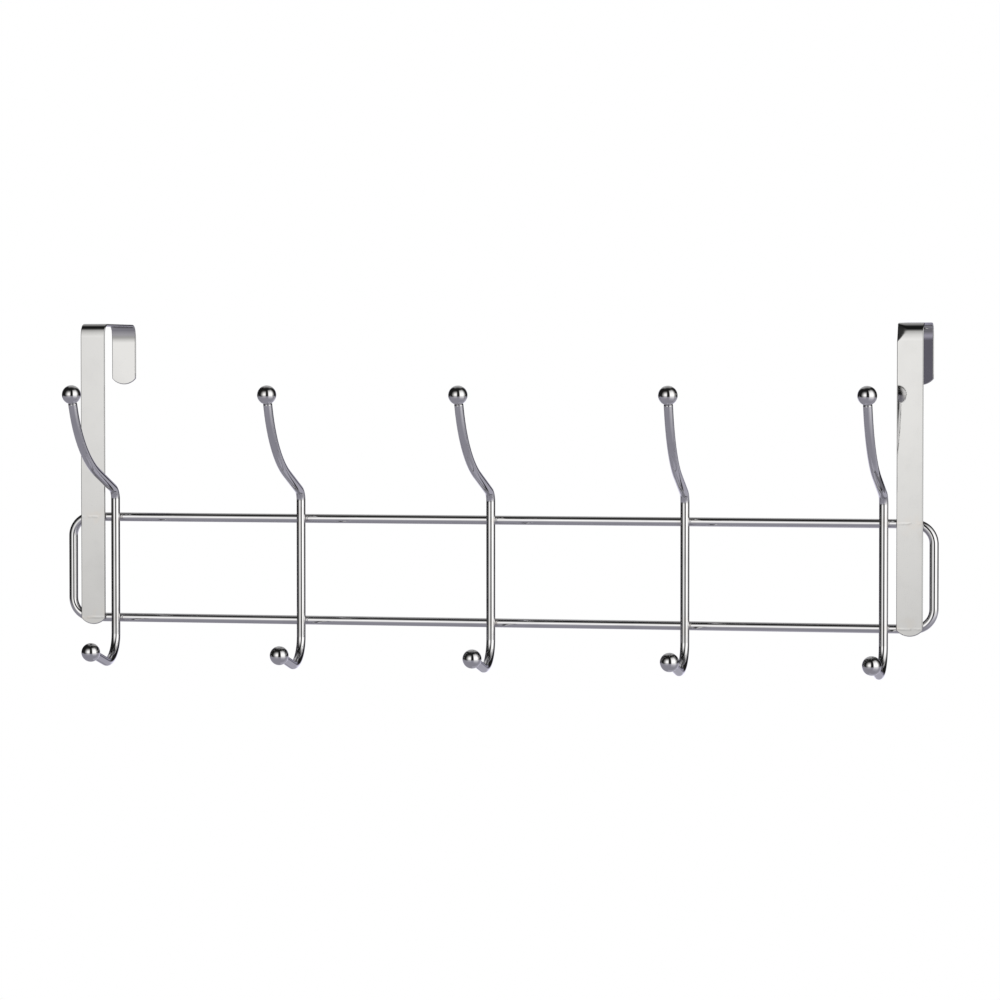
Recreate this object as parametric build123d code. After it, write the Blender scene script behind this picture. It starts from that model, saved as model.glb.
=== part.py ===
from build123d import *
import os

# Over door rack of chromed steel: a closed loop of wire, a row of double hooks
# with ball ends welded across it, and two flat straps that hang it on a door.
# Millimetres. X runs along the rack, Y points back towards the door, Z is up.
# The origin lies on the door's top front edge, midway between the straps.

# The door that the rack hangs on
DOOR_THICKNESS = 44.5        # the thickest door that the straps take
DOOR_PLAY = 0.8              # room left between that door and the back tabs

# Wire frame: one closed loop, flat against the door
FRAME_WIRE = 5.0             # wire diameter
FRAME_WIDTH = 500.0          # over the outside of the two ends
RAIL_SPACING = 57.5          # upper to lower rail, wire centres
FRAME_CORNER = 11.0          # corner radius on the wire's centre line

# Door straps: flat strip with rolled edges, bent over the door's top edge
STRAP_WIDTH = 14.5
STRAP_THICKNESS = 1.2
STRAP_BEND = 4.5             # inside radius of both bends
STRAP_END_BULGE = 3.4        # height of the arc at each end of the strip
STRAP_DROP = 109.0           # door's top edge down to the upper rail's centre
STRAP_TAIL = 4.0             # strip below the lower rail's centre
STRAP_END_GAP = 3.2          # clear gap between a strap and the frame's end wire
STRAP_SINK = 0.3             # depth that the weld presses the strip into a rail
TAB_LENGTH = 33.5            # back tab below the door's top edge

# Hooks: each one wire, bent at both ends and welded across the two rails
HOOK_WIRE = 5.0              # wire diameter
HOOK_STRAP_GAP = 4.3         # clear gap between an outer hook and its strap
HOOK_SINK = 0.4              # depth that the weld presses a hook into a rail

# Bending chart of the upper arm, from the upper rail to the ball's centre
SHANK_ABOVE = 11.6           # straight wire above the upper rail's centre
SHOULDER_RADIUS = 5.0
SHOULDER_ANGLE = 68.5        # turn forwards, in degrees
ARM_RUN = 27.0               # straight run after the shoulder
ARM_RADIUS = 62.0
ARM_ANGLE = 48.5             # turn back upwards, in degrees
ARM_TIP = 8.0                # straight run to the ball's centre
ARM_SET = (-2.2, 0.2, -1.7, 3.1, 0.6)    # each arm's turn to the right, in degrees

# Bending chart of the lower hook, from the lower rail to the ball's centre
SHANK_BELOW = 9.0            # straight wire below the lower rail's centre
HEEL_RADIUS = 15.0
HEEL_ANGLE = 105.0           # turn forwards and up, in degrees
TOE_RUN = 25.0               # straight run to the ball's centre

BALL_DIAMETER = 10.5

# Places that follow from the sizes above
UPPER_RAIL_Z = -STRAP_DROP
LOWER_RAIL_Z = UPPER_RAIL_Z - RAIL_SPACING
FRAME_Y = -FRAME_WIRE / 2
HOOK_Y = -FRAME_WIRE - HOOK_WIRE / 2 + HOOK_SINK
STRAP_FRONT_Y = -FRAME_WIRE + STRAP_SINK - STRAP_THICKNESS / 2
STRAP_BACK_Y = DOOR_THICKNESS + DOOR_PLAY + STRAP_THICKNESS / 2
STRAP_TOP_Z = STRAP_THICKNESS / 2
STRAP_X = FRAME_WIDTH / 2 - FRAME_WIRE - STRAP_END_GAP - STRAP_WIDTH / 2
HOOK_END_X = STRAP_X - STRAP_WIDTH / 2 - HOOK_STRAP_GAP - HOOK_WIRE / 2
HOOK_COUNT = len(ARM_SET)
HOOK_PITCH = 2 * HOOK_END_X / (HOOK_COUNT - 1)


def round_wire(path, diameter):
    """Sweep a round wire along a path of runs and tangent bends."""
    section = Plane(origin=path @ 0, z_dir=path % 0) * Circle(diameter / 2)
    return sweep(section, path=path)


def make_frame_loop():
    """The frame's wire loop before the straps are pressed into it."""
    width = FRAME_WIDTH - FRAME_WIRE
    middle_z = (UPPER_RAIL_Z + LOWER_RAIL_Z) / 2
    plane = Plane(origin=(0, FRAME_Y, middle_z), x_dir=(1, 0, 0), z_dir=(0, -1, 0))
    loop = plane * RectangleRounded(width, RAIL_SPACING, FRAME_CORNER)
    return round_wire(loop.face().outer_wire(), FRAME_WIRE)


def rounded_end(y, z):
    """The waste beyond the arc at a strip's lower end, centred at y and ending at z."""
    half = STRAP_WIDTH / 2
    radius = (half**2 + STRAP_END_BULGE**2) / (2 * STRAP_END_BULGE)
    depth = 2 * STRAP_THICKNESS
    block = Pos(0, y, z) * Box(2 * STRAP_WIDTH, depth, 2 * STRAP_END_BULGE)
    disc = Pos(0, y, z + radius) * Rot(90, 0, 0) * Cylinder(radius, depth)
    return block - disc


def make_strap(x):
    """A flat strip, up the front, over the door and down behind it to a short tab."""
    tail_z = LOWER_RAIL_Z - STRAP_TAIL
    path = FilletPolyline(
        (0, STRAP_FRONT_Y, tail_z),
        (0, STRAP_FRONT_Y, STRAP_TOP_Z),
        (0, STRAP_BACK_Y, STRAP_TOP_Z),
        (0, STRAP_BACK_Y, -TAB_LENGTH),
        radius=STRAP_BEND + STRAP_THICKNESS / 2,
    )
    start = Plane(origin=path @ 0, x_dir=(1, 0, 0), z_dir=path % 0)
    strip = sweep(start * SlotOverall(STRAP_WIDTH, STRAP_THICKNESS), path=path)
    strip -= rounded_end(STRAP_FRONT_Y, tail_z)
    strip -= rounded_end(STRAP_BACK_Y, -TAB_LENGTH)
    return Pos(x, 0, 0) * strip


def make_hook_path(x, arm_set):
    """The hook's centre line, from the lower ball's centre to the upper one's."""
    shank = Line((0, LOWER_RAIL_Z - SHANK_BELOW), (0, UPPER_RAIL_Z + SHANK_ABOVE))
    heel = JernArc(shank @ 0, (0, -1), HEEL_RADIUS, HEEL_ANGLE)
    toe = Line(heel @ 1 + (heel % 1) * TOE_RUN, heel @ 1)
    shoulder = JernArc(shank @ 1, (0, 1), SHOULDER_RADIUS, -SHOULDER_ANGLE)
    arm_run = Line(shoulder @ 1, shoulder @ 1 + (shoulder % 1) * ARM_RUN)
    arm_bend = JernArc(arm_run @ 1, arm_run % 1, ARM_RADIUS, ARM_ANGLE)
    tip = Line(arm_bend @ 1, arm_bend @ 1 + (arm_bend % 1) * ARM_TIP)
    forwards = Plane(origin=(x, HOOK_Y, 0), x_dir=(0, -1, 0), z_dir=(-1, 0, 0))
    shank_axis = Axis((x, HOOK_Y, 0), (0, 0, 1))
    lower = [forwards * edge for edge in (toe, heel, shank)]
    upper = [forwards * edge for edge in (shoulder, arm_run, arm_bend, tip)]
    return Wire(lower + [edge.rotate(shank_axis, arm_set) for edge in upper])


def make_ball(centre):
    """A solid ball, butt welded to the end of a hook wire."""
    return Pos(centre) * Sphere(BALL_DIAMETER / 2)


def make_parts():
    """Every piece of the rack by its node's name."""
    loop = make_frame_loop()
    left = make_strap(-STRAP_X)
    right = make_strap(STRAP_X)
    parts = {
        "wire_frame": loop - left - right,
        "left_door_strap": left,
        "right_door_strap": right,
    }
    for i, arm_set in enumerate(ARM_SET):
        path = make_hook_path(-HOOK_END_X + i * HOOK_PITCH, arm_set)
        lower = make_ball(path @ 0)
        upper = make_ball(path @ 1)
        parts[f"hook_wire_{i + 1}"] = round_wire(path, HOOK_WIRE) - loop - lower - upper
        parts[f"upper_ball_{i + 1}"] = upper
        parts[f"lower_ball_{i + 1}"] = lower
    return parts


os.makedirs("parts", exist_ok=True)
for name, shape in make_parts().items():
    shape.label = name
    export_step(shape, f"parts/{name}.step")
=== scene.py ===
import math

import bpy
from mathutils import Matrix, Vector


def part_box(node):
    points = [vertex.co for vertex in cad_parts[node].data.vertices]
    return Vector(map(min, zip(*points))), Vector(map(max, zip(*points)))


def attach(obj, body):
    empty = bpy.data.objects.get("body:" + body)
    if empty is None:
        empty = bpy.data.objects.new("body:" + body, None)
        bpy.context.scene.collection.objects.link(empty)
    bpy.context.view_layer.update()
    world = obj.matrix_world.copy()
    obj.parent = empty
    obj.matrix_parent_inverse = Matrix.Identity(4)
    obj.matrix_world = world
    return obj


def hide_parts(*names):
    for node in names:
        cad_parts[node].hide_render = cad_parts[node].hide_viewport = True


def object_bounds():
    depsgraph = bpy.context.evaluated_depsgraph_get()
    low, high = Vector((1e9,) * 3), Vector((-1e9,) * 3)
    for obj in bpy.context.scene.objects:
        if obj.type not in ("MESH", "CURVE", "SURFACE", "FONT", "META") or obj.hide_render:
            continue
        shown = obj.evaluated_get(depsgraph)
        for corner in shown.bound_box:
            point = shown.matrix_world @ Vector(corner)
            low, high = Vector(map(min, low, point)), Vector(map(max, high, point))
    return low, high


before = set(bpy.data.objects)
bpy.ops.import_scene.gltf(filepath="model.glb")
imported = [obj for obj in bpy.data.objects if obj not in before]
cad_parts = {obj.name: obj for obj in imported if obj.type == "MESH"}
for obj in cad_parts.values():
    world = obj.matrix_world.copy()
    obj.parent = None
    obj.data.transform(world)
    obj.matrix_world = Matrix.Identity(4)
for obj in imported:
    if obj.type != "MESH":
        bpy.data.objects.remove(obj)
CAD_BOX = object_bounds()

bl_info = {
    "name": "Over door hook rack",
    "version": (1, 0, 0),
    "blender": (4, 5, 0),
    "location": "3D View > Sidebar > Hook rack",
    "description": "Bends, welds and plates a chromed hook rack round its packed model",
    "category": "Object",
}

BODY = "root"
MM = 0.001

WIRE_POINTS = 36                      # points round a wire
BALL_POINTS = 64                      # points round a ball
BALL_STEPS = 40                       # steps from a ball's top down to its neck
NECK_STEPS = 6                        # steps round the hollow of a neck
STUB_POINTS = 48                      # points round the stubs of wire that a weld is melted from
STAGE_POINTS = 64                     # points round the floor and round the light tent
BEND_STEP = math.radians(4)           # turn between two rings of a bend
EDGE_STEPS = 4                        # steps round a rolled edge
EDGE_ANGLE = math.radians(50)         # a strip's edges are rolled where it turns by more than this
LEAD = 0.2 * MM                       # short stretch at each end of a straight run, which keeps it flat
SEAM = 0.005 * MM                     # points that lie closer than this are merged
CLOSE = 0.01 * MM                     # how closely a point has to lie on a plane to be picked
SENSOR_WIDTH = 36                     # of the camera, in millimetres
STRAPS = ("left_door_strap", "right_door_strap")
DENTED_STRAP = STRAPS[1]              # the one whose front bend has been knocked
HOOK_NUMBERS = (1, 2, 3, 4, 5)        # from left to right
UP = Vector((0, 0, 1))
FORWARDS = Vector((0, -1, 0))         # away from the door
ACROSS = Vector((1, 0, 0))            # along the rack, to the right

frame_low, frame_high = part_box("wire_frame")
strap_low, strap_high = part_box(STRAPS[0])


def middle(node):
    """The middle of a CAD node's box."""
    low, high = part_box(node)
    return (low + high) / 2


def length(name, description, default):
    """A size that the sidebar shows in the scene's units."""
    return bpy.props.FloatProperty(
        name=name, description=description, default=default, unit="LENGTH", precision=4)


def angle(name, description, degrees):
    """A turn that the sidebar shows in degrees."""
    return bpy.props.FloatProperty(
        name=name, description=description, default=math.radians(degrees), subtype="ANGLE")


def factor(name, description, default):
    """A share between nothing and all."""
    return bpy.props.FloatProperty(
        name=name, description=description, default=default, min=0, max=1, subtype="FACTOR")


def colour(name, description, default):
    """A colour in the scene's linear light."""
    return bpy.props.FloatVectorProperty(
        name=name, description=description, default=default, size=3, min=0, max=1, subtype="COLOR")


def level(name, description, default):
    """How bright a lamp, the tent or the sky is."""
    return bpy.props.FloatProperty(name=name, description=description, default=default, min=0)


class FrameSizes(bpy.types.PropertyGroup):
    """Sizes of the wire loop that the hooks are welded to"""

    wire: length("Wire", "Diameter of the frame's wire", frame_high.y - frame_low.y)
    corner: length("Corner", "Corner radius on the wire's centre line", 11 * MM)
    press_edge: length("Press edge", "Width of the step beside a flat under a strap", 0.15 * MM)


class StrapSizes(bpy.types.PropertyGroup):
    """Sizes of the flat strips that go over the door"""

    thickness: length("Thickness", "Thickness of the strip", 1.2 * MM)
    bend: length("Bend", "Radius of both bends on the middle of the strip", 4.3 * MM)
    leg_ease: length("Leg ease", "Radius of the soft curve between the front bend and the leg", 16 * MM)
    leg_turn: angle("Leg turn", "Part of the front turn that the soft curve takes", 14)
    tab_ease: length("Tab ease", "Radius of the soft curve between the back bend and the tab", 24 * MM)
    tab_turn: angle("Tab turn", "Part of the back turn that the soft curve takes", 16)
    bulge: length("Bulge", "Height of the arc at each end of the strip", 3.4 * MM)
    tab: length("Tab", "End of the back tab below the door's top edge", 33.5 * MM)
    rolled_edge: length("Rolled edge", "Radius of the strip's rolled edges", 0.5 * MM)
    toe: angle("Toe", "Turn of each strap that brings its tab towards the rack's middle", 1.35)
    end_steps: bpy.props.IntProperty(
        name="End steps", description="Edges along the arc at each end", default=16)
    slack: bpy.props.FloatProperty(
        name="Slack", description="How much larger the dented strap's front bend is", default=1.28)
    sag: length("Sag", "Depth that the dented strap's front bend has sunk", 0.65 * MM)
    dent_drop: length("Dent drop", "Lower end of the dent below the strip's top", 11.3 * MM)
    dent_reach: length("Dent reach", "Width of the dent along the strip's top", 11.4 * MM)
    dent_lean: angle("Dent lean", "Slope of the dent, away from the fold at its edge", 30)
    dent_crease: length("Dent crease", "Half the width of that fold", 0.4 * MM)


class HookSizes(bpy.types.PropertyGroup):
    """Bending chart of one hook, from the lower ball up to the upper one"""

    wire: length("Wire", "Diameter of the hook's wire", 5 * MM)
    toe_run: length("Toe run", "Straight run from the lower ball's centre", 25 * MM)
    heel_radius: length("Heel radius", "Radius of the lower bend", 15 * MM)
    heel_angle: angle("Heel angle", "Turn of the lower bend", 105)
    shank: length("Shank", "Straight run across both rails", 76.74 * MM)
    shoulder_radius: length("Shoulder radius", "Radius of the tight bend above the rail", 7 * MM)
    shoulder_angle: angle("Shoulder angle", "Turn forwards above the rail", 68.5)
    arm_run: length("Arm run", "Straight run after the shoulder", 25.64 * MM)
    arm_radius: length("Arm radius", "Radius of the arm's long curve", 62 * MM)
    arm_angle: angle("Arm angle", "Turn of the arm back upwards", 48.5)
    arm_tip: length("Arm tip", "Straight run to the upper ball's centre", 8 * MM)
    chamfer: length("Chamfer", "Width of the chamfer at each end of the wire, beside its ball", 0.5 * MM)


class BallSizes(bpy.types.PropertyGroup):
    """Sizes of the balls on the ends of the hooks"""

    diameter: length("Diameter", "Diameter of a ball", 10.5 * MM)
    neck: length("Neck", "Radius of the weld between a ball and its wire", 0.15 * MM)
    rim: length("Rim", "Length of the weld's edge along the wire", 0.05 * MM)


class WeldSizes(bpy.types.PropertyGroup):
    """Sizes of the welds where the hooks cross the rails"""

    reach: length("Reach", "Half the length of wire that a weld covers", 3.2 * MM)
    grain: length("Grain", "Size of the cells that the weld is remeshed to", 0.2 * MM)
    sink: length("Sink", "Depth of the weld's skin inside the two wires", 0.05 * MM)
    flow: bpy.props.IntProperty(
        name="Flow", description="Rounds of smoothing that fill the corner", default=14)
    melt: factor("Melt", "Strength of each round of smoothing", 0.5)


class ChromeFinish(bpy.types.PropertyGroup):
    """The plated finish that every piece shares"""

    tone: colour("Tone", "Colour of clean plating on wires and balls", (0.66, 0.657, 0.665))
    strap_tone: colour("Strap tone", "Colour of clean plating on the straps", (0.537, 0.534, 0.529))
    film: factor("Film", "Part of its brightness that plating keeps under a faint film", 0.94)
    heated: colour("Heated", "Colour of plating over a weld", (0.57, 0.52, 0.47))
    gloss: factor("Gloss", "Roughness of the brightest plating", 0.02)
    haze: factor("Haze", "Roughness of the dullest plating", 0.065)


class StudioSettings(bpy.types.PropertyGroup):
    """Camera, floor and light of the product photograph"""

    eye: bpy.props.FloatVectorProperty(
        name="Eye", description="Place of the camera", size=3, subtype="TRANSLATION",
        default=(0.5373, -2.19124, -0.02604))
    pan: angle("Pan", "Turn of the camera to the left", 13.689)
    tilt: angle("Tilt", "Turn of the camera upwards", -1.823)
    lens: bpy.props.FloatProperty(
        name="Lens", description="Focal length of the camera", default=145.25, unit="CAMERA")
    floor_drop: length("Floor drop", "Height of the door's top edge over the floor", 1.0)
    floor_reach: length("Floor reach", "Distance at which the floor has faded out", 3.4)
    floor_tone: colour("Floor tone", "Colour of the floor", (0.87, 0.87, 0.88))
    sky: level("Sky", "Soft light from all round", 0.7)
    key: level("Key", "Power of the soft lamp in watts", 38)
    key_width: length("Key width", "Width of the soft lamp", 1.6)
    key_place: bpy.props.FloatVectorProperty(
        name="Key place", description="Place of the soft lamp", size=3, subtype="TRANSLATION",
        default=(-0.8, -1.4, 1.7))
    tent_reach: length("Tent reach", "Distance from the rack to the light tent", 3.6)
    tent_lift: length("Tent lift", "Height of the tent's flat foot over the floor", 0.02)
    left_glow: level("Left glow", "Brightness of the tent's left window", 1.6)
    right_glow: level("Right glow", "Brightness of the tent's right window", 1.66)
    stray: level("Stray", "Brightness of the tent's dark cloth", 0.016)
    back: level("Back", "Brightness of the tent behind the rack", 0.66)
    roof: level("Roof", "Brightness of the tent's roof behind the rack", 0.52)
    foot: level("Foot", "Brightness of the tent's foot", 0.376)
    lamp_tone: colour("Lamp tone", "Colour of the tent's windows", (1, 0.995, 0.98))
    back_tone: colour("Back tone", "Colour of the tent behind the rack", (0.82, 0.79, 1))
    foot_tone: colour("Foot tone", "Colour of the tent's foot", (0.884, 0.866, 1))


def deselect():
    """Leave nothing selected. The loaded nodes are selected at first."""
    bpy.ops.object.select_all(action="DESELECT")


def take(piece):
    """Select one piece alone and make it the active one."""
    deselect()
    piece.select_set(True)
    bpy.context.view_layer.objects.active = piece


def edit():
    """Go into edit mode."""
    bpy.ops.object.mode_set(mode="EDIT")


def leave():
    """Go back to object mode."""
    bpy.ops.object.mode_set(mode="OBJECT")


def settle(piece):
    """Put a piece's place, turn and size into its mesh."""
    take(piece)
    bpy.ops.object.transform_apply(location=True, rotation=True, scale=True)


def pick(wanted):
    """In edit mode, select the points whose place is wanted and no others."""
    leave()
    mesh = bpy.context.object.data
    for part in (mesh.polygons, mesh.edges):
        part.foreach_set("select", [False] * len(part))
    for point in mesh.vertices:
        point.select = wanted(point.co)
    edit()


def close_up():
    """In edit mode, merge the seams and turn every face outwards, then leave."""
    bpy.ops.mesh.select_all(action="SELECT")
    bpy.ops.mesh.remove_doubles(threshold=SEAM)
    bpy.ops.mesh.normals_make_consistent(inside=False)
    leave()


def apply_modifier(piece, kind, **settings):
    """Add a modifier to a piece and apply it."""
    take(piece)
    modifier = piece.modifiers.new(kind.title(), kind)
    for setting, value in settings.items():
        setattr(modifier, setting, value)
    bpy.ops.object.modifier_apply(modifier=modifier.name)


def copy_of(piece, name):
    """A copy of a piece with its own mesh, selected alone."""
    take(piece)
    bpy.ops.object.duplicate(linked=False)
    twin = bpy.context.object
    twin.name = name
    twin.data.name = name
    return twin


def discard(piece):
    """Delete a pattern that has been copied."""
    take(piece)
    bpy.ops.object.delete()


def ring(name, place, heading, radius):
    """Start a wire as a ring of points, left in edit mode with all of it selected."""
    deselect()
    bpy.ops.mesh.primitive_circle_add(
        vertices=WIRE_POINTS, radius=radius, location=place,
        rotation=heading.to_track_quat("Z", "Y").to_euler())
    piece = bpy.context.object
    piece.name = name
    piece.data.name = name
    settle(piece)
    edit()
    bpy.ops.mesh.select_all(action="SELECT")
    return piece


def dot(place):
    """In edit mode, add one selected point, from a small plane merged at its centre."""
    bpy.ops.mesh.select_all(action="DESELECT")
    bpy.ops.mesh.primitive_plane_add(size=MM)
    bpy.ops.mesh.merge(type="CENTER")
    bpy.ops.transform.translate(value=place)


def new_mesh(name):
    """Start an empty mesh at the origin, left in edit mode."""
    deselect()
    bpy.ops.mesh.primitive_plane_add(size=MM)
    piece = bpy.context.object
    piece.name = name
    piece.data.name = name
    edit()
    bpy.ops.mesh.select_all(action="SELECT")
    bpy.ops.mesh.delete(type="VERT")
    return piece


def push(move):
    """Extrude what is selected along a straight line."""
    bpy.ops.mesh.extrude_region_move(TRANSFORM_OT_translate={"value": move})


def swing(centre, axis, turn, steps):
    """Spin what is selected, anticlockwise round the axis for a positive turn."""
    bpy.ops.mesh.spin(steps=steps, angle=-turn, center=centre, axis=axis)


def turn_upright(turn, place):
    """Turn what is selected about an upright axis, anticlockwise from above."""
    bpy.ops.transform.rotate(value=-turn, orient_axis="Z", center_override=place)


class Bender:
    """Feeds a wire or a strip through a bending chart in one plane, from selected points."""

    def __init__(self, start, heading, axis):
        self.at = Vector(start)
        self.heading = Vector(heading).normalized()
        self.axis = Vector(axis)

    def run(self, distance):
        """Feed a straight run."""
        for stretch in (LEAD, distance - 2 * LEAD, LEAD):
            push(self.heading * stretch)
        self.at += self.heading * distance

    def bend(self, radius, turn):
        """Bend round a roller, to the left of the heading for a positive turn."""
        side = self.axis.cross(self.heading) * math.copysign(radius, turn)
        centre = self.at + side
        swing(centre, self.axis, turn, max(2, math.ceil(abs(turn) / BEND_STEP)))
        rotation = Matrix.Rotation(turn, 3, self.axis)
        self.at = centre - rotation @ side
        self.heading = rotation @ self.heading


def ball_seat(ball_radius, wire_radius):
    """Distance from a ball's centre to where its wire's rim meets it."""
    return math.sqrt(ball_radius**2 - wire_radius**2)


def hollow_end(heading, ball_radius, wire_radius, chamfer):
    """Chamfer a wire's selected end ring and close it with a hollow that fits the ball ahead."""
    tip = wire_radius - chamfer
    push(heading * chamfer)
    bpy.ops.transform.resize(value=[tip / wire_radius] * 3)
    half = tip / 2
    deep = ball_seat(ball_radius, half) - ball_seat(ball_radius, tip)
    push(-heading * deep)
    bpy.ops.transform.resize(value=[half / tip] * 3)
    push(-heading * (ball_radius - ball_seat(ball_radius, half)))
    bpy.ops.mesh.merge(type="CENTER")


def add_node(tree, kind, inputs=(), **settings):
    """Add a node, with its settings and with its inputs linked or set by name or number."""
    node = tree.nodes.new(kind)
    for setting, value in settings.items():
        setattr(node, setting, value)
    for key, value in dict(inputs).items():
        if isinstance(value, bpy.types.NodeSocket):
            tree.links.new(value, node.inputs[key])
        else:
            node.inputs[key].default_value = value
    return node


def ramp(tree, value, low, high, start=0.0, end=1.0):
    """The value's part between low and high, eased into the range from start to end."""
    node = add_node(tree, "ShaderNodeMapRange", {
        "Value": value, "From Min": low, "From Max": high, "To Min": start, "To Max": end,
    }, interpolation_type="SMOOTHSTEP")
    return node.outputs["Result"]


def maths(tree, operation, first, second=0):
    """One step of arithmetic on a value or on two."""
    return add_node(tree, "ShaderNodeMath", {0: first, 1: second}, operation=operation).outputs[0]


def noise(tree, place, scale, detail=2.0):
    """A soft cloud of the given scale, from nought to one."""
    node = add_node(tree, "ShaderNodeTexNoise", {"Vector": place, "Scale": scale, "Detail": detail})
    return node.outputs["Fac"]


def stretched(tree, place, scale):
    """The place with each axis scaled, for a pattern that is longer one way."""
    return add_node(tree, "ShaderNodeMapping", {"Vector": place, "Scale": scale}).outputs["Vector"]


def blended(tree, share, first, second):
    """A colour that goes from the first to the second with the share."""
    node = add_node(tree, "ShaderNodeMix", data_type="RGBA")
    tree.links.new(share, node.inputs[0])
    colour_inputs, colour_output = node.inputs[6:8], node.outputs[2]
    for socket, tone in zip(colour_inputs, (first, second)):
        if isinstance(tone, bpy.types.NodeSocket):
            tree.links.new(tone, socket)
        else:
            socket.default_value = (*tone, 1)
    return colour_output


def near(tree, value, target, reach):
    """One where the value is the target, falling to nought at the reach."""
    away = maths(tree, "ABSOLUTE", maths(tree, "SUBTRACT", value, target))
    return ramp(tree, away, 0, reach, 1, 0)


def rail_heights():
    """The heights of the lower and the upper rail's centre line."""
    radius = (frame_high.y - frame_low.y) / 2
    return frame_low.z + radius, frame_high.z - radius


# The plating's patterns. A scale is the number of patches in a metre. A fade is the pair of noise levels
# between which a patch comes in.
FILM_SCALE, FILM_FADE = 55, (0.45, 0.75)              # clouds of faint film
TINT_SCALE, TINT_FADE = 220, (0.4, 0.75)              # mottled tint where a weld has heated the plating
TINT_MOST = 0.4                                       # how strong the tint gets
HAZE_SCALE, HAZE_FADE = 130, (0.35, 0.8)              # dull patches
DRAWN_FADE, DRAWN_HAZE = (0.3, 0.8), (0.85, 1.3)      # how much duller the drawn lines make them
DRAWN_DEPTH = 0.0012 * MM                             # depth of the drawn lines
WAVE_SCALE = 170                                      # soft waves of the polished metal
WIRE_WAVE, BALL_WAVE, STRAP_WAVE = 0.012 * MM, 0.008 * MM, 0.004 * MM    # depths of those waves
PATCH_SCALE = 40                                      # patches of tint on the balls
HEAT_REACH = 9 * MM                                   # how far from a weld the tint reaches
MARK_REACH, MARK_DEPTH = 1.1 * MM, 0.02 * MM          # a weld's line across a strap
MARK_SCALE, MARK_FADE = 160, (0.35, 0.6)              # gaps in that line

# How many drawn lines lie in a metre along each axis, with few along the way that the metal was drawn
RAIL_DRAWN = (60, 2400, 2400)
STRAP_DRAWN = (1500, 1500, 45)
HOOK_DRAWN = (1500, 1500, 60)
BALL_DRAWN = (700, 700, 700)
WELD_DRAWN = (900, 900, 900)


def at_rails(tree, place, reach):
    """One at the height of either rail, falling to nought at the reach."""
    height = add_node(tree, "ShaderNodeSeparateXYZ", {0: place}).outputs["Z"]
    lower, upper = (near(tree, height, rail, reach) for rail in rail_heights())
    return maths(tree, "MAXIMUM", lower, upper)


def heat_at_rails(tree, place):
    """How much a weld has heated a piece that stands across both rails."""
    return at_rails(tree, place, HEAT_REACH)


def heat_at_hooks(tree, place):
    """How much the hooks' welds have heated a rail, hook by hook along it."""
    along = add_node(tree, "ShaderNodeSeparateXYZ", {0: place}).outputs["X"]
    pitch = middle("lower_ball_2").x - middle("lower_ball_1").x
    away = maths(tree, "PINGPONG", along, pitch / 2)
    return ramp(tree, away, 0, HEAT_REACH, 1, 0)


def heat_in_patches(tree, place):
    """How much a ball has been heated, here and there."""
    return noise(tree, place, PATCH_SCALE)


def weld_marks(tree, place):
    """A low line across a strap at each rail that it is welded to."""
    worn = ramp(tree, noise(tree, place, MARK_SCALE), *MARK_FADE)
    return maths(tree, "MULTIPLY", at_rails(tree, place, MARK_REACH), worn)


def raised(tree, height, depth, under=None):
    """The surface's normal with a pattern of some depth laid over it, or over the pattern under it."""
    node = add_node(tree, "ShaderNodeBump", {"Height": height, "Strength": 1, "Distance": depth})
    if under:
        tree.links.new(under, node.inputs["Normal"])
    return node.outputs["Normal"]


def chrome(name, tone, wave, drawn, heat, marks=None):
    """Bright plating: soft waves, faint lines along the metal, clouds of film and heat at the welds."""
    finish = bpy.context.scene.rack_chrome
    material = bpy.data.materials.new(name)
    material.use_nodes = True
    tree = material.node_tree
    shader = tree.nodes["Principled BSDF"]
    place = add_node(tree, "ShaderNodeTexCoord").outputs["Object"]
    film = ramp(tree, noise(tree, place, FILM_SCALE, detail=3), *FILM_FADE)
    plated = blended(tree, film, tone, Vector(tone) * finish.film)
    mottled = ramp(tree, noise(tree, place, TINT_SCALE), *TINT_FADE, 0, TINT_MOST)
    tint = maths(tree, "MULTIPLY", heat(tree, place), mottled)
    tree.links.new(blended(tree, tint, plated, finish.heated), shader.inputs["Base Color"])
    lines = noise(tree, stretched(tree, place, drawn), 1, detail=3)
    haze = ramp(tree, noise(tree, place, HAZE_SCALE, detail=4), *HAZE_FADE, finish.gloss, finish.haze)
    scuffed = maths(tree, "MULTIPLY", haze, ramp(tree, lines, *DRAWN_FADE, *DRAWN_HAZE))
    tree.links.new(scuffed, shader.inputs["Roughness"])
    normal = raised(tree, noise(tree, place, WAVE_SCALE, detail=1), wave)
    normal = raised(tree, lines, DRAWN_DEPTH, normal)
    if marks:
        normal = raised(tree, marks(tree, place), MARK_DEPTH, normal)
    tree.links.new(normal, shader.inputs["Normal"])
    shader.inputs["Metallic"].default_value = 1
    return material


def fit(piece, material, node=None):
    """Give a finished piece its plating and its place on the rack."""
    piece.data.materials.clear()
    piece.data.materials.append(material)
    if node:
        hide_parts(node)
    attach(piece, BODY)


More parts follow.
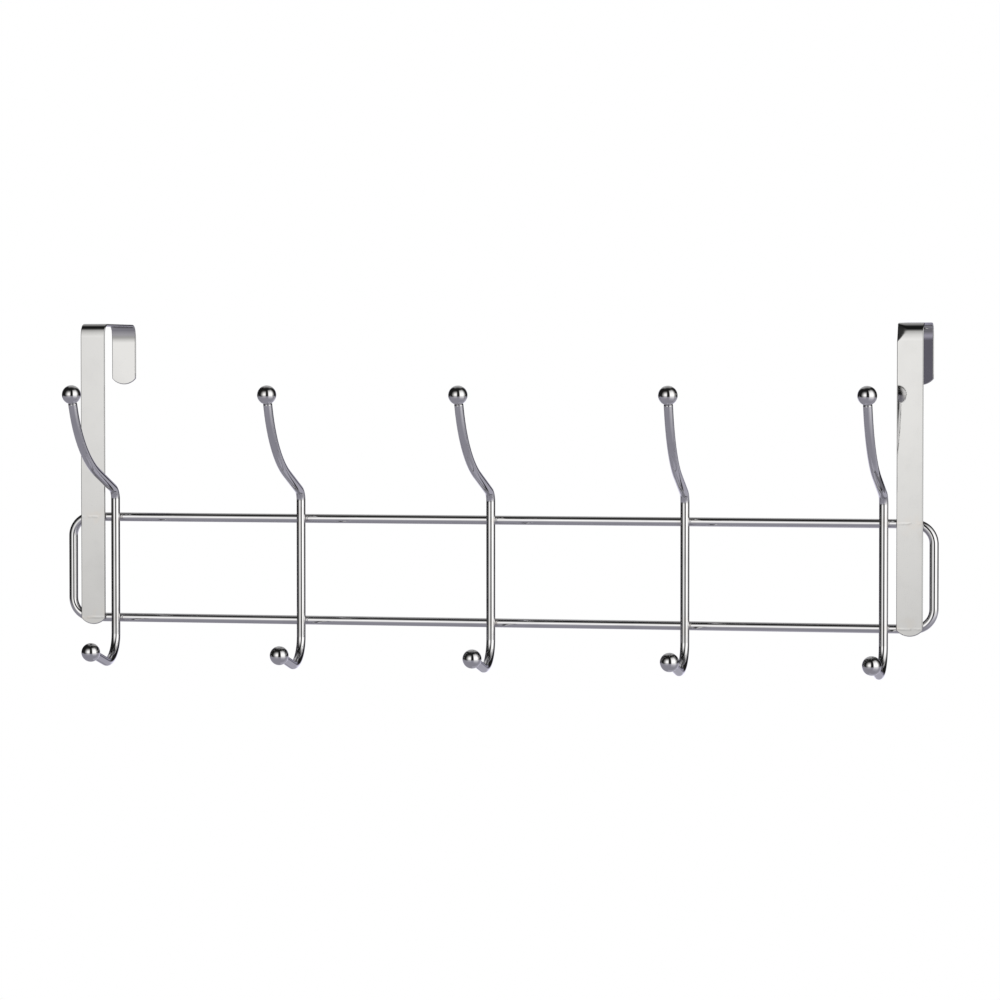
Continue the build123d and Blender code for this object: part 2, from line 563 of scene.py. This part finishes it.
class RACK_OT_bend_frame(bpy.types.Operator):
    """Bend the frame's wire into a closed loop, with a flat pressed under each strap"""

    bl_idname = "rack.bend_frame"
    bl_label = "Wire frame"

    def execute(self, context):
        sizes = context.scene.rack_frame
        radius = sizes.wire / 2
        half_rail = frame_high.x - radius - sizes.corner
        lower_rail, upper_rail = rail_heights()
        side = upper_rail - lower_rail - 2 * sizes.corner
        start = Vector((0, frame_high.y - radius, upper_rail))
        loop = ring("frame_loop", start, -ACROSS, radius)
        wire = Bender(start, -ACROSS, FORWARDS)
        for run in (half_rail, side, 2 * half_rail, side):
            wire.run(run)
            wire.bend(sizes.corner, math.pi / 2)
        wire.run(half_rail)
        for strap in STRAPS:
            self.press(strap, sizes.press_edge)
        close_up()
        bpy.ops.object.shade_smooth()
        tone = context.scene.rack_chrome.tone
        material = chrome("frame chrome", tone, WIRE_WAVE, RAIL_DRAWN, heat_at_hooks)
        fit(loop, material, "wire_frame")
        return {"FINISHED"}

    def press(self, strap, step):
        """Press the loop flat behind one strap."""
        low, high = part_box(strap)
        back = low.y + bpy.context.scene.rack_strap.thickness
        for x in (low.x - 2 * step, low.x - step, low.x, high.x, high.x + step, high.x + 2 * step):
            bpy.ops.mesh.select_all(action="SELECT")
            bpy.ops.mesh.bisect(plane_co=(x, 0, 0), plane_no=ACROSS)
        edge = step / 2
        pick(lambda place: low.x - edge < place.x < high.x + edge and place.y < back)
        bpy.ops.transform.resize(value=(1, 0, 1), center_override=(0, back, 0))


class RACK_OT_form_straps(bpy.types.Operator):
    """Cut, bend and roll the two strips that go over the door"""

    bl_idname = "rack.form_straps"
    bl_label = "Door straps"

    def execute(self, context):
        sizes = context.scene.rack_strap
        half = sizes.thickness / 2
        front, back = strap_low.y + half, strap_high.y - half
        strip = self.bend_strip(sizes, front, back)
        tone = context.scene.rack_chrome.strap_tone
        material = chrome("strap chrome", tone, STRAP_WAVE, STRAP_DRAWN, heat_at_rails, weld_marks)
        for node in STRAPS:
            strap = copy_of(strip, node.replace("door_strap", "strap_strip"))
            if node == DENTED_STRAP:
                self.slacken_bend(strap, sizes, front, back)
            apply_modifier(strap, "SOLIDIFY", thickness=sizes.thickness, offset=0)
            apply_modifier(strap, "BEVEL", width=sizes.rolled_edge, segments=EDGE_STEPS,
                           limit_method="ANGLE", angle_limit=EDGE_ANGLE, harden_normals=True)
            if node == DENTED_STRAP:
                self.dent_corner(strap, sizes, front, back)
            x = middle(node).x
            self.toe_in(math.copysign(sizes.toe, x), front, back)
            strap.location.x = x
            settle(strap)
            fit(strap, material, node)
        discard(strip)
        return {"FINISHED"}

    def bend_strip(self, sizes, front, back):
        """One strip as a bare sheet on its middle surface, midway between the straps."""
        top = strap_high.z - sizes.thickness / 2
        tail, tab = strap_low.z, -sizes.tab
        strip = new_mesh("strip")
        self.cut_end(sizes, back, tab)
        self.cut_end(sizes, front, tail)
        square = math.pi / 2
        leg_reach, leg_drop = self.eased_corner(sizes.bend, sizes.leg_ease, sizes.leg_turn)
        tab_reach, tab_drop = self.eased_corner(sizes.bend, sizes.tab_ease, sizes.tab_turn)
        feed = Bender((0, front, tail + 2 * sizes.bulge), UP, ACROSS)
        feed.run(top - leg_drop - feed.at.z)
        feed.bend(sizes.leg_ease, -sizes.leg_turn)
        feed.bend(sizes.bend, sizes.leg_turn - square)
        feed.run(back - front - leg_reach - tab_reach)
        feed.bend(sizes.bend, sizes.tab_turn - square)
        feed.bend(sizes.tab_ease, -sizes.tab_turn)
        feed.run(top - tab_drop - tab - 2 * sizes.bulge)
        close_up()
        bpy.ops.object.shade_smooth()
        return strip

    def eased_corner(self, bend, ease, turn):
        """How far a square corner of a tight bend and a soft curve reaches along the top, and down."""
        return ease - (ease - bend) * math.cos(turn), bend + (ease - bend) * math.sin(turn)

    def slacken_bend(self, strip, sizes, front, back):
        """Open up a strip's front bend and let it sink."""
        top = strap_high.z - sizes.thickness / 2
        take(strip)
        edit()
        pick(lambda place: place.y < (front + back) / 2 and place.z > -sizes.tab)
        bpy.ops.transform.resize(value=(1, sizes.slack, sizes.slack), center_override=(0, front, top))
        bpy.ops.transform.translate(value=-UP * sizes.sag)
        leave()

    def dent_corner(self, strip, sizes, front, back):
        """Press the upper left corner of a strip's front bend flat, beyond a slanting fold."""
        left, top = (strap_low.x - strap_high.x) / 2, strap_high.z
        start = Vector((left, 0, top - sizes.dent_drop))
        fold = Vector((sizes.dent_reach, 0, sizes.dent_drop)).normalized()
        inwards = FORWARDS.cross(fold)
        take(strip)
        edit()
        for beside in (-sizes.dent_crease, 0, sizes.dent_crease):
            pick(lambda place: place.y < (front + back) / 2)
            bpy.ops.mesh.bisect(plane_co=start + inwards * beside, plane_no=inwards)
        leave()
        dent = strip.vertex_groups.new(name="dent")
        for point in strip.data.vertices:
            # The depth is taken on the strip's middle under the point, so the strip keeps its thickness
            out = point.normal - ACROSS * point.normal.x
            within = point.co - out * sizes.thickness / 2
            beyond = (within - start).dot(inwards)
            depth = front + beyond * math.tan(sizes.dent_lean) - within.y
            if beyond > 0 and depth > 0:
                dent.add([point.index], depth / sizes.dent_drop, "REPLACE")
        apply_modifier(strip, "DISPLACE", direction="Y", mid_level=0, strength=sizes.dent_drop,
                       vertex_group=dent.name)
        strip.vertex_groups.clear()

    def toe_in(self, toe, front, back):
        """Turn the selected strap about its leg, and its tab back so that it lies along the door."""
        edit()
        bpy.ops.mesh.select_all(action="SELECT")
        turn_upright(toe, (0, front, 0))
        pick(lambda place: place.y > (front + back) / 2)
        turn_upright(-toe, (-math.sin(toe) * (back - front), back, 0))
        leave()

    def cut_end(self, sizes, y, z):
        """The end of a strip: an arc that rises to a straight row, which stays selected."""
        half = (strap_high.x - strap_low.x) / 2
        radius = (half**2 + sizes.bulge**2) / (2 * sizes.bulge)
        straight = z + 2 * sizes.bulge
        dot((-half, y, z + sizes.bulge))
        swing((0, y, z + radius), FORWARDS, 2 * math.asin(half / radius), sizes.end_steps)
        pick(lambda place: abs(place.y - y) < MM and place.z < straight)
        push(UP * sizes.bulge)
        bpy.ops.transform.resize(value=(1, 1, 0), center_override=(0, y, straight))


class RACK_OT_bend_hooks(bpy.types.Operator):
    """Bend one hook wire and copy it along the rack, with each arm set as it stands"""

    bl_idname = "rack.bend_hooks"
    bl_label = "Hook wires"

    def execute(self, context):
        sizes = context.scene.rack_hook
        pattern, shank_top = self.bend_wire(sizes, context.scene.rack_ball.diameter / 2)
        tone = context.scene.rack_chrome.tone
        material = chrome("hook chrome", tone, WIRE_WAVE, HOOK_DRAWN, heat_at_rails)
        for number in HOOK_NUMBERS:
            hook = copy_of(pattern, f"hook_{number}_wire")
            self.set_arm(number, shank_top)
            hook.location.x = middle(f"lower_ball_{number}").x
            settle(hook)
            fit(hook, material, f"hook_wire_{number}")
        discard(pattern)
        return {"FINISHED"}

    def bend_wire(self, sizes, ball_radius):
        """One hook at the rack's middle, and the top of its shank."""
        radius = sizes.wire / 2
        seat = ball_seat(ball_radius, radius - sizes.chamfer) + sizes.chamfer
        toe = lower_heading(sizes)
        ball = middle("lower_ball_1")
        ball.x = 0
        start = ball - toe * seat
        pattern = ring("hook", start, -toe, radius)
        wire = Bender(start, -toe, ACROSS)
        wire.run(sizes.toe_run - seat)
        wire.bend(sizes.heel_radius, sizes.heel_angle)
        wire.run(sizes.shank)
        shank_top = wire.at.copy()
        wire.bend(sizes.shoulder_radius, sizes.shoulder_angle)
        wire.run(sizes.arm_run)
        wire.bend(sizes.arm_radius, -sizes.arm_angle)
        wire.run(sizes.arm_tip - seat)
        hollow_end(wire.heading, ball_radius, radius, sizes.chamfer)
        pick(lambda place: abs((place - start).dot(toe)) < CLOSE and (place - start).length < sizes.wire)
        hollow_end(toe, ball_radius, radius, sizes.chamfer)
        close_up()
        bpy.ops.object.shade_smooth()
        if abs(wire.at.z + wire.heading.z * seat - middle("upper_ball_1").z) > MM:
            raise RuntimeError("the bending chart doesn't end at the upper ball")
        return pattern, shank_top

    def set_arm(self, number, shank_top):
        """Turn the selected hook's arm about its shank, towards its own ball."""
        edit()
        pick(lambda place: place.z > shank_top.z + CLOSE)
        turn_upright(arm_set(number), shank_top)
        leave()


def lower_heading(sizes):
    """The direction from a hook's heel out to its lower ball."""
    return FORWARDS * math.sin(sizes.heel_angle) - UP * math.cos(sizes.heel_angle)


def upper_heading(sizes):
    """The direction of an arm's tip, before the arm is set."""
    lean = sizes.shoulder_angle - sizes.arm_angle
    return FORWARDS * math.sin(lean) + UP * math.cos(lean)


def shank_y():
    """The middle of the hooks' shanks, front to back."""
    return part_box("hook_wire_1")[1].y - bpy.context.scene.rack_hook.wire / 2


def arm_set(number):
    """How far a hook's arm is turned to the right about its shank."""
    ball = middle(f"upper_ball_{number}")
    return math.atan2(ball.x - middle(f"lower_ball_{number}").x, shank_y() - ball.y)


class RACK_OT_turn_balls(bpy.types.Operator):
    """Turn one ball with its welded neck and copy it onto every wire end"""

    bl_idname = "rack.turn_balls"
    bl_label = "Ball ends"

    def execute(self, context):
        hook = context.scene.rack_hook
        pattern = self.turn_ball(context.scene.rack_ball, hook.wire / 2 - hook.chamfer)
        tone = context.scene.rack_chrome.tone
        material = chrome("ball chrome", tone, BALL_WAVE, BALL_DRAWN, heat_in_patches)
        for number in HOOK_NUMBERS:
            set_turn = Matrix.Rotation(arm_set(number), 3, "Z")
            headings = {"upper": set_turn @ upper_heading(hook), "lower": lower_heading(hook)}
            for end, heading in headings.items():
                node = f"{end}_ball_{number}"
                ball = copy_of(pattern, f"{end}_ball_end_{number}")
                ball.rotation_euler = heading.to_track_quat("Z", "Y").to_euler()
                ball.location = middle(node)
                settle(ball)
                fit(ball, material, node)
        discard(pattern)
        return {"FINISHED"}

    def turn_ball(self, sizes, wire_radius):
        """One ball at the origin, its neck below it."""
        radius = sizes.diameter / 2
        across = wire_radius + sizes.neck
        down = math.sqrt((radius + sizes.neck) ** 2 - across**2)
        lean = math.atan2(across, down)
        pattern = new_mesh("ball")
        dot((0, 0, radius))
        swing((0, 0, 0), -FORWARDS, math.pi - lean, BALL_STEPS)
        swing((across, 0, -down), FORWARDS, math.pi / 2 - lean, NECK_STEPS)
        push(-UP * sizes.rim)
        push(-ACROSS * wire_radius)
        bpy.ops.mesh.select_all(action="SELECT")
        swing((0, 0, 0), UP, 2 * math.pi, BALL_POINTS)
        close_up()
        bpy.ops.object.shade_smooth()
        return pattern


class RACK_OT_run_welds(bpy.types.Operator):
    """Run the welds that fill the corners where the hooks cross the rails"""

    bl_idname = "rack.run_welds"
    bl_label = "Rail welds"

    def execute(self, context):
        scene = context.scene
        pattern = self.make_weld(scene.rack_weld, scene.rack_frame.wire / 2, scene.rack_hook.wire / 2)
        welds = []
        for number in HOOK_NUMBERS:
            for rail in rail_heights():
                weld = copy_of(pattern, "rail_welds")
                weld.location = (middle(f"lower_ball_{number}").x, 0, rail)
                settle(weld)
                welds.append(weld)
        discard(pattern)
        deselect()
        for weld in welds:
            weld.select_set(True)
        context.view_layer.objects.active = welds[0]
        bpy.ops.object.join()
        piece = context.object
        piece.name = "rail_welds"
        material = chrome("weld chrome", scene.rack_chrome.tone, BALL_WAVE, WELD_DRAWN, heat_at_rails)
        fit(piece, material)
        return {"FINISHED"}

    def make_weld(self, sizes, rail_radius, hook_radius):
        """One weld: a stub of each wire melted together, so that metal fills the corners."""
        deselect()
        rail_y = frame_high.y - rail_radius
        bpy.ops.mesh.primitive_cylinder_add(
            vertices=STUB_POINTS, radius=rail_radius, depth=2 * sizes.reach, location=(0, rail_y, 0),
            rotation=(0, math.pi / 2, 0))
        pattern = bpy.context.object
        settle(pattern)
        edit()
        bpy.ops.mesh.primitive_cylinder_add(
            vertices=STUB_POINTS, radius=hook_radius, depth=2 * sizes.reach, location=(0, shank_y(), 0))
        leave()
        apply_modifier(pattern, "REMESH", mode="VOXEL", voxel_size=sizes.grain, use_smooth_shade=True)
        apply_modifier(pattern, "SMOOTH", factor=sizes.melt, iterations=sizes.flow)
        apply_modifier(pattern, "DISPLACE", strength=-sizes.sink, mid_level=0)
        return pattern


# How bright the tent is round its walls and up them: degrees to the right of the camera or above the
# horizon, each with its share of the full brightness
LEFT_ACROSS = (
    (-78, 0), (-66, 0.14), (-52, 0.44), (-37, 0.95), (-25, 1), (-15, 0.95), (-8, 0.06), (-5, 0))
LEFT_UP = (
    (-42, 0), (-33, 0.03), (-26, 0.08), (-18, 0.2), (-13, 0.36), (-8, 0.56), (-4, 0.76), (0, 0.93),
    (6, 1), (20, 0.78), (30, 0.48), (38, 0.22), (46, 0.06), (54, 0))
RIGHT_ACROSS = (
    (17, 0), (26, 0.9), (33, 1), (66, 1), (76, 0.72), (87, 0.34), (97, 0.08), (106, 0.02), (112, 0))
RIGHT_UP = (
    (-52, 0), (-42, 0.06), (-32, 0.12), (-22, 0.28), (-15, 0.5), (-10, 0.7), (-2, 1), (14, 1),
    (30, 0.85), (42, 0.62), (51, 0.4), (59, 0.1), (66, 0))
BACK_UP = (
    (-24, 0), (-14, 1), (-8, 0.95), (-2, 0.65), (8, 0.65), (16, 0.25), (26, 0.05), (90, 0))

# Where the tent's other parts fade in, in degrees or in shares of the tent's reach
BACK_ROUND = (148, 162)               # degrees round from the camera, on either side
ROOF_BACK = (-0.1, 0.75)              # share of the reach, towards the back
ROOF_UP = (12, 30)                    # degrees
ROOF_ASIDE = (0.5, 0.28)              # share of the reach, inwards from either side
FOOT_UP = (-10, -20)                  # degrees
FOOT_ROUND, FOOT_RISE = (60, 110), 8  # degrees round over which the foot's edge rises, and by how many
PALE_ROUND, PALEST = (95, 140), 1.4   # degrees to the right over which the foot grows paler, and how much

FLOOR_CLOUDS = 3                      # soft clouds in a metre of floor
FLOOR_SHADE = 0.96                    # brightness of the clouds' darkest parts
FLOOR_ROUGHNESS = 0.9
FLOOR_FADE = 0.25                     # share of the floor's reach at which it starts to fade


def profile(tree, degrees, stops):
    """The level that the stops give at an angle."""
    first, last = stops[0][0], stops[-1][0]
    share = add_node(tree, "ShaderNodeMapRange", {
        "Value": degrees, "From Min": first, "From Max": last}).outputs["Result"]
    node = add_node(tree, "ShaderNodeValToRGB", {0: share})
    elements = node.color_ramp.elements
    while len(elements) < len(stops):
        elements.new(1)
    for element, (degree, bright) in zip(elements, stops):
        element.position = (degree - first) / (last - first)
        element.color = (bright, bright, bright, 1)
    return node.outputs["Color"]


def window(tree, across, up, across_stops, up_stops, bright):
    """One bright window of the tent."""
    shape = maths(tree, "MULTIPLY", profile(tree, across, across_stops), profile(tree, up, up_stops))
    return maths(tree, "MULTIPLY", shape, bright)


def tent_cloth(settings):
    """Dark cloth with two bright windows in front, a pale foot, and a grey back and roof behind."""
    material = bpy.data.materials.new("tent cloth")
    material.use_nodes = True
    tree = material.node_tree
    tree.nodes.remove(tree.nodes["Principled BSDF"])
    place = add_node(tree, "ShaderNodeTexCoord").outputs["Object"]
    outwards = add_node(tree, "ShaderNodeVectorMath", {0: place}, operation="NORMALIZE").outputs["Vector"]
    x, y, z = add_node(tree, "ShaderNodeSeparateXYZ", {0: outwards}).outputs
    ahead = maths(tree, "MULTIPLY", y, -1)
    across = maths(tree, "DEGREES", maths(tree, "ARCTAN2", x, ahead))
    up = maths(tree, "DEGREES", maths(tree, "ARCSINE", z))
    left = window(tree, across, up, LEFT_ACROSS, LEFT_UP, settings.left_glow)
    right = window(tree, across, up, RIGHT_ACROSS, RIGHT_UP, settings.right_glow)
    windows = maths(tree, "ADD", maths(tree, "ADD", left, right), settings.stray)
    either_side, aside = maths(tree, "ABSOLUTE", across), maths(tree, "ABSOLUTE", x)
    back = maths(tree, "MULTIPLY", ramp(tree, either_side, *BACK_ROUND), profile(tree, up, BACK_UP))
    wall = maths(tree, "MULTIPLY", back, settings.back)
    overhead = maths(tree, "MULTIPLY", ramp(tree, y, *ROOF_BACK), ramp(tree, up, *ROOF_UP))
    roof = maths(tree, "MULTIPLY", overhead, ramp(tree, aside, *ROOF_ASIDE))
    ceiling = maths(tree, "MULTIPLY", roof, settings.roof)
    over_edge = maths(tree, "SUBTRACT", up, ramp(tree, either_side, *FOOT_ROUND, 0, FOOT_RISE))
    pale = maths(tree, "MULTIPLY", ramp(tree, across, *PALE_ROUND, 1, PALEST), settings.foot)
    foot = maths(tree, "MULTIPLY", ramp(tree, over_edge, *FOOT_UP), pale)
    cloth = None
    white = maths(tree, "ADD", windows, ceiling)
    for tone, bright in (
            (settings.lamp_tone, white), (settings.back_tone, wall), (settings.foot_tone, foot)):
        glow = add_node(tree, "ShaderNodeEmission", {"Color": (*tone, 1), "Strength": bright}).outputs[0]
        cloth = add_node(tree, "ShaderNodeAddShader", {0: cloth, 1: glow}).outputs[0] if cloth else glow
    tree.links.new(cloth, tree.nodes["Material Output"].inputs["Surface"])
    return material


class RACK_OT_set_studio(bpy.types.Operator):
    """Set the floor, the soft light, the tent that the chrome mirrors, and the camera"""

    bl_idname = "rack.set_studio"
    bl_label = "Studio"

    def execute(self, context):
        settings = context.scene.rack_studio
        self.light_sky(context.scene, settings)
        self.lay_floor(settings)
        self.hang_lamp(settings)
        self.pitch_tent(settings)
        self.aim_camera(context.scene, settings)
        context.scene.view_settings.view_transform = "Standard"
        return {"FINISHED"}

    def light_sky(self, scene, settings):
        """White all round for the camera and for reflections, and soft light for the rest."""
        world = bpy.data.worlds.new("studio")
        scene.world = world
        world.use_nodes = True
        tree = world.node_tree
        path = add_node(tree, "ShaderNodeLightPath")
        seen = maths(tree, "MAXIMUM", path.outputs["Is Camera Ray"], path.outputs["Is Glossy Ray"])
        seen = maths(tree, "MAXIMUM", seen, path.outputs["Is Transmission Ray"])
        background = tree.nodes["Background"]
        background.inputs["Color"].default_value = (1, 1, 1, 1)
        tree.links.new(ramp(tree, seen, 0, 1, settings.sky, 1), background.inputs["Strength"])

    def lay_floor(self, settings):
        """A pale floor that fades into the background."""
        deselect()
        bpy.ops.mesh.primitive_circle_add(
            vertices=STAGE_POINTS, radius=settings.floor_reach, fill_type="NGON",
            location=-UP * settings.floor_drop)
        floor = bpy.context.object
        floor.name = "studio_floor"
        material = bpy.data.materials.new("pale floor")
        material.use_nodes = True
        tree = material.node_tree
        shader = tree.nodes["Principled BSDF"]
        place = add_node(tree, "ShaderNodeTexCoord").outputs["Object"]
        away = add_node(tree, "ShaderNodeVectorMath", {0: place}, operation="LENGTH").outputs["Value"]
        darker = Vector(settings.floor_tone) * FLOOR_SHADE
        tone = blended(tree, noise(tree, place, FLOOR_CLOUDS), settings.floor_tone, darker)
        tree.links.new(tone, shader.inputs["Base Color"])
        shader.inputs["Roughness"].default_value = FLOOR_ROUGHNESS
        shader.inputs["Specular IOR Level"].default_value = 0
        fade = ramp(tree, away, FLOOR_FADE * settings.floor_reach, settings.floor_reach, 1, 0)
        tree.links.new(fade, shader.inputs["Alpha"])
        floor.data.materials.append(material)

    def hang_lamp(self, settings):
        """One wide soft lamp over the camera's left shoulder."""
        deselect()
        place = Vector(settings.key_place)
        bpy.ops.object.light_add(
            type="AREA", location=place, rotation=place.to_track_quat("Z", "Y").to_euler())
        lamp = bpy.context.object
        lamp.data.shape = "DISK"
        lamp.data.size = settings.key_width
        lamp.data.energy = settings.key
        lamp.visible_glossy = lamp.visible_camera = False

    def pitch_tent(self, settings):
        """A tent with a flat foot, round the rack and the camera, seen only in reflections."""
        deselect()
        bpy.ops.mesh.primitive_uv_sphere_add(
            segments=STAGE_POINTS, ring_count=STAGE_POINTS // 2, radius=settings.tent_reach,
            location=(CAD_BOX[0] + CAD_BOX[1]) / 2, rotation=(0, 0, settings.pan))
        tent = bpy.context.object
        tent.name = "light_tent"
        ground = settings.tent_lift - settings.floor_drop
        edit()
        pick(lambda place: place.z + tent.location.z < ground)
        bpy.ops.transform.resize(value=(1, 1, 0), center_override=(0, 0, ground))
        leave()
        tent.visible_camera = tent.visible_diffuse = tent.visible_shadow = False
        tent.data.materials.append(tent_cloth(settings))

    def aim_camera(self, scene, settings):
        """The camera that took the photograph."""
        deselect()
        bpy.ops.object.camera_add(
            location=settings.eye, rotation=(math.pi / 2 + settings.tilt, 0, settings.pan))
        camera = bpy.context.object
        camera.data.lens = settings.lens
        camera.data.sensor_width = SENSOR_WIDTH
        scene.camera = camera


class RACK_PT_tools(bpy.types.Panel):
    """Lists the steps that make the rack"""

    bl_label = "Hook rack"
    bl_idname = "RACK_PT_tools"
    bl_space_type = "VIEW_3D"
    bl_region_type = "UI"
    bl_category = "Hook rack"

    def draw(self, context):
        for step in STEPS:
            self.layout.operator(step.bl_idname)


GROUPS = {
    "rack_frame": FrameSizes,
    "rack_strap": StrapSizes,
    "rack_hook": HookSizes,
    "rack_ball": BallSizes,
    "rack_weld": WeldSizes,
    "rack_chrome": ChromeFinish,
    "rack_studio": StudioSettings,
}
STEPS = (
    RACK_OT_bend_frame,
    RACK_OT_form_straps,
    RACK_OT_bend_hooks,
    RACK_OT_turn_balls,
    RACK_OT_run_welds,
    RACK_OT_set_studio,
)


def register():
    for name, group in GROUPS.items():
        bpy.utils.register_class(group)
        setattr(bpy.types.Scene, name, bpy.props.PointerProperty(type=group))
    for kind in (*STEPS, RACK_PT_tools):
        bpy.utils.register_class(kind)


def unregister():
    for kind in (RACK_PT_tools, *reversed(STEPS)):
        bpy.utils.unregister_class(kind)
    for name, group in reversed(GROUPS.items()):
        delattr(bpy.types.Scene, name)
        bpy.utils.unregister_class(group)


def main():
    register()
    bpy.ops.rack.bend_frame()
    bpy.ops.rack.form_straps()
    bpy.ops.rack.bend_hooks()
    bpy.ops.rack.turn_balls()
    bpy.ops.rack.run_welds()
    bpy.ops.rack.set_studio()


if __name__ == "__main__":
    main()
